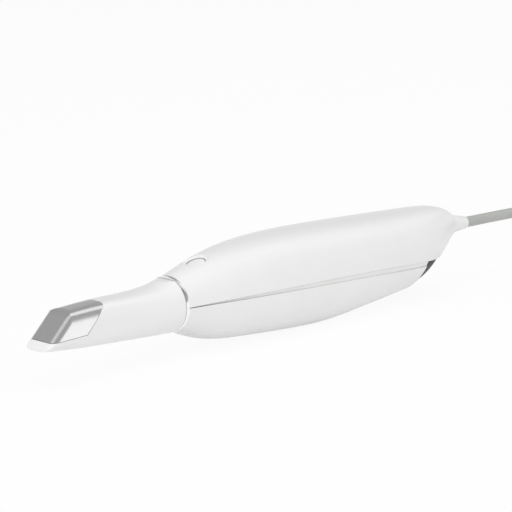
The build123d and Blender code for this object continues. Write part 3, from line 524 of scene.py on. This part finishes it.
def plastic(name, colour, drift, worn, gloss, depth, cloud=60.0, grain=2600.0, coat=0.0):
    finish, tree, skin = start_finish(name)
    grains = place_group(tree, grain_group, Cloud_Scale=cloud, Grain_Scale=grain)
    wear = place_group(tree, wear_group, Width=0.0005, Break_Scale=420.0)
    gaps = place_group(tree, painted_shade_group, Reach=0.002)
    body = tint(tree, spread(tree, grains.outputs["Cloud"], 0.0, 1.0), colour, drift)
    rubbed = tint(tree, wear.outputs["Edge"], body, worn)
    # painted shade: the rubbed colour darkens towards this tone deep in gaps and seams
    shade = tuple(painted_shade_tone * share for share in colour)
    shaded = tint(tree, gaps.outputs["Gap"], rubbed, shade)
    join(tree, shaded, skin.inputs["Base Color"])
    join(tree, spread(tree, grains.outputs["Cloud"], *gloss), skin.inputs["Roughness"])
    bumped(tree, skin, grains.outputs["Grain"], depth, plastic_grain_height)
    fill(skin, Coat_Weight=coat, Coat_Roughness=coat_blur)
    return finish


print("plastic recipe ready")

# %% [markdown]
# Plastics in plain view
#
# Shell and tip are the same white moulding. The tip is a little glossier, because it is made to be
# wiped clean, and the boot of the lead shares its finish. The button is painted a shade whiter than
# the shell, as painted light for its sunk face. The vent is nearly black and dull, its dark plastic
# painted darker still as painted shade for the recess it sits in. The jacket of the lead is a soft
# grey with a trace of green.

# %% Plastics in plain view
shell_white = (0.87, 0.87, 0.867)
rubbed_white = grey(0.91)
finishes["white_shell"] = plastic(
    "white shell", shell_white, (0.86, 0.86, 0.857), rubbed_white, (0.34, 0.4), 0.1, coat=0.12
)
finishes["white_tip"] = plastic(
    "white tip", shell_white, (0.865, 0.865, 0.862), rubbed_white, (0.28, 0.31), 0.05, coat=0.2
)
# painted light: the button's white is set brighter than the shell's, for the light its sunk face
# lacks
finishes["button white with painted light"] = plastic(
    "button white with painted light", grey(0.93), grey(0.92), grey(0.95), (0.26, 0.3), 0.04, coat=0.2
)
# painted shade: the vent's dark plastic is set darker than the other dark plastics, for the shade
# in the recess it sits in
finishes["vent dark with painted shade"] = plastic(
    "vent dark with painted shade", (0.03, 0.03, 0.032), (0.024, 0.024, 0.026), grey(0.09), (0.5, 0.6), 0.15
)
finishes["cable_grey"] = plastic(
    "lead jacket", (0.47, 0.48, 0.46), (0.44, 0.45, 0.43), grey(0.54), (0.42, 0.52), 0.2, cloud=90.0
)
print("plastics in view:", len(finishes))

# %% [markdown]
# Dark plastics
#
# Plug and blower are dark moulded plastic. The seal on the nose is dull rubber, which shows when
# the tip is pulled off. Chips have a very fine grain.

# %% Dark plastics
finishes["dark_plastic"] = plastic(
    "dark plastic", (0.045, 0.045, 0.048), (0.032, 0.032, 0.034), grey(0.12), (0.45, 0.6), 0.25
)
finishes["seal_rubber"] = plastic(
    "seal rubber", grey(0.03), grey(0.022), grey(0.06), (0.6, 0.75), 0.2
)
finishes["chip"] = plastic(
    "chip case",
    (0.022, 0.022, 0.024),
    (0.03, 0.03, 0.032),
    grey(0.07),
    (0.42, 0.52),
    0.3,
    grain=5000.0,
)
print("plastics:", len(finishes))

# %% [markdown]
# One recipe for metals
#
# A metal takes its look from what it mirrors, so colour matters less than roughness. The hair lines
# spread the roughness a little to both sides, and edges are polished brighter by use.

# %% Metal recipe
hair_line_height = 0.00004


def metal(name, colour, drift, polished, gloss, depth=0.05, across=5200.0, along=130.0):
    finish, tree, skin = start_finish(name)
    lines = place_group(tree, line_group, Across=across, Along=along)
    grains = place_group(tree, grain_group, Cloud_Scale=80.0, Grain_Scale=4000.0)
    wear = place_group(tree, wear_group, Width=0.0004, Break_Scale=600.0)
    body = tint(tree, spread(tree, grains.outputs["Cloud"], 0.0, 1.0), colour, drift)
    rubbed = tint(tree, wear.outputs["Edge"], body, polished)
    join(tree, rubbed, skin.inputs["Base Color"])
    join(tree, spread(tree, lines.outputs["Line"], *gloss), skin.inputs["Roughness"])
    bumped(tree, skin, lines.outputs["Line"], depth, hair_line_height)
    skin.inputs["Metallic"].default_value = 1.0
    return finish


finishes["hood_metal"] = metal(
    "hood metal", grey(0.94), grey(0.92), grey(0.95), (0.22, 0.3), 0.04
)
finishes["ring_chrome"] = metal(
    "ring chrome", (0.95, 0.95, 0.955), (0.92, 0.92, 0.925), grey(0.96), (0.05, 0.1), 0.02
)
finishes["bright_metal"] = metal(
    "bright steel", (0.6, 0.6, 0.61), (0.54, 0.54, 0.55), (0.74, 0.74, 0.75), (0.22, 0.36)
)
finishes["frame_metal"] = metal(
    "grey anodised metal",
    (0.2, 0.2, 0.215),
    (0.17, 0.17, 0.18),
    (0.4, 0.4, 0.41),
    (0.36, 0.48),
    0.1,
)
print("finishes so far:", len(finishes))

# %% [markdown]
# Copper, gold and the mirror
#
# The coil is wound from fine wire, so its lines are closer and deeper than hair lines. The contacts
# are plated with gold. The tip's mirror is smooth, so its lines have no depth, and its edge is
# darker than its face.

# %% Coloured metals
finishes["copper"] = metal(
    "copper winding",
    (0.72, 0.36, 0.16),
    (0.62, 0.28, 0.12),
    (0.86, 0.5, 0.28),
    (0.24, 0.36),
    depth=0.3,
    across=9000.0,
    along=900.0,
)
finishes["gold"] = metal(
    "gold plate", (0.86, 0.62, 0.22), (0.8, 0.55, 0.18), (0.95, 0.75, 0.36), (0.16, 0.26)
)
finishes["mirror"] = metal(
    "silvered mirror", grey(0.92), (0.9, 0.9, 0.905), grey(0.8), (0.02, 0.035), depth=0.0
)
print("finishes so far:", len(finishes))

# %% [markdown]
# Glass
#
# Lenses and the window are clear. Wiping leaves faint smears, which show as slightly rougher
# clouds.

# %% Glass recipe
def glass(name, colour, drift):
    finish, tree, skin = start_finish(name)
    grains = place_group(tree, grain_group, Cloud_Scale=140.0, Grain_Scale=900.0)
    body = tint(tree, spread(tree, grains.outputs["Cloud"], 0.0, 1.0), colour, drift)
    join(tree, body, skin.inputs["Base Color"])
    join(tree, spread(tree, grains.outputs["Cloud"], 0.01, 0.05), skin.inputs["Roughness"])
    fill(skin, Transmission_Weight=1.0, IOR=1.5)
    return finish


finishes["glass"] = glass("coated glass", (0.93, 0.96, 0.97), (0.9, 0.94, 0.96))
finishes["lamp_lens"] = glass("lamp lens", (0.97, 0.92, 0.62), (0.95, 0.88, 0.52))
print("glasses: 2")

# %% [markdown]
# Circuit boards
#
# A board is lacquer over copper tracks, which show as slightly paler lines in the green. A wave
# texture draws them, slightly bent, so that they don't look ruled.

# %% Board
board, tree, skin = start_finish("green board")
spot = add(tree, "ShaderNodeTexCoord")
tracks = add(tree, "ShaderNodeTexWave", bands_direction="Y")
fill(tracks, Scale=160.0, Distortion=1.5, Detail=1.0)
join(tree, spot.outputs["Object"], tracks.inputs["Vector"])
track = tracks.outputs["Fac"]
lacquer = tint(tree, track, (0.012, 0.085, 0.035), (0.03, 0.15, 0.065))
join(tree, lacquer, skin.inputs["Base Color"])
join(tree, spread(tree, track, 0.28, 0.38), skin.inputs["Roughness"])
bumped(tree, skin, track, strength=0.2, distance=0.00005)
finishes["board"] = board
print("board:", board.name)

# %% [markdown]
# The tie
#
# The tie round the hank is a woven band. Two crossed waves make its weave: where both are high a
# thread lies on top.

# %% Tie
band, tree, skin = start_finish("woven tie")
spot = add(tree, "ShaderNodeTexCoord")
weave = add(tree, "ShaderNodeMath", operation="MULTIPLY")
for direction, socket in zip(("X", "Y"), weave.inputs):
    thread = add(tree, "ShaderNodeTexWave", bands_direction=direction)
    fill(thread, Scale=420.0, Distortion=0.6)
    join(tree, spot.outputs["Object"], thread.inputs["Vector"])
    join(tree, thread.outputs["Fac"], socket)
yarn = tint(tree, weave.outputs[0], (0.018, 0.018, 0.02), (0.06, 0.06, 0.065))
join(tree, yarn, skin.inputs["Base Color"])
join(tree, spread(tree, weave.outputs[0], 0.75, 0.92), skin.inputs["Roughness"])
bumped(tree, skin, weave.outputs[0], strength=0.5, distance=0.0002)
finishes["tie_fabric"] = band
print("finishes:", len(finishes))

# %% [markdown]
# Dressing the solids
#
# The CAD record says which finish each solid has. Here every solid gets the finish made for that
# name, on its own material slots, and the lead gets the jacket. Two small mouldings in plain view
# get a colour that stands in for light: the button is painted a shade whiter than the shell round
# it, as painted light for its sunk face, and the vent is painted darker than the other dark
# plastics, as painted shade for the recess it sits in, with a shallower grain.

# %% Give each solid its finish
wanted = {row["node"]: row["material_slot"] for row in frame["record"]["subparts"]}
# painted light on the button and painted shade on the vent, by colours of their own
wanted.update(scan_button="button white with painted light", rear_vent="vent dark with painted shade")
for name, solid in nodes.items():
    solid.data.materials.clear()
    solid.data.materials.append(finishes[wanted[name]])
lead_data.materials.append(finishes["cable_grey"])
print("dressed:", len(nodes), "solids and the lead")

# %% Finish
print("scene ready")
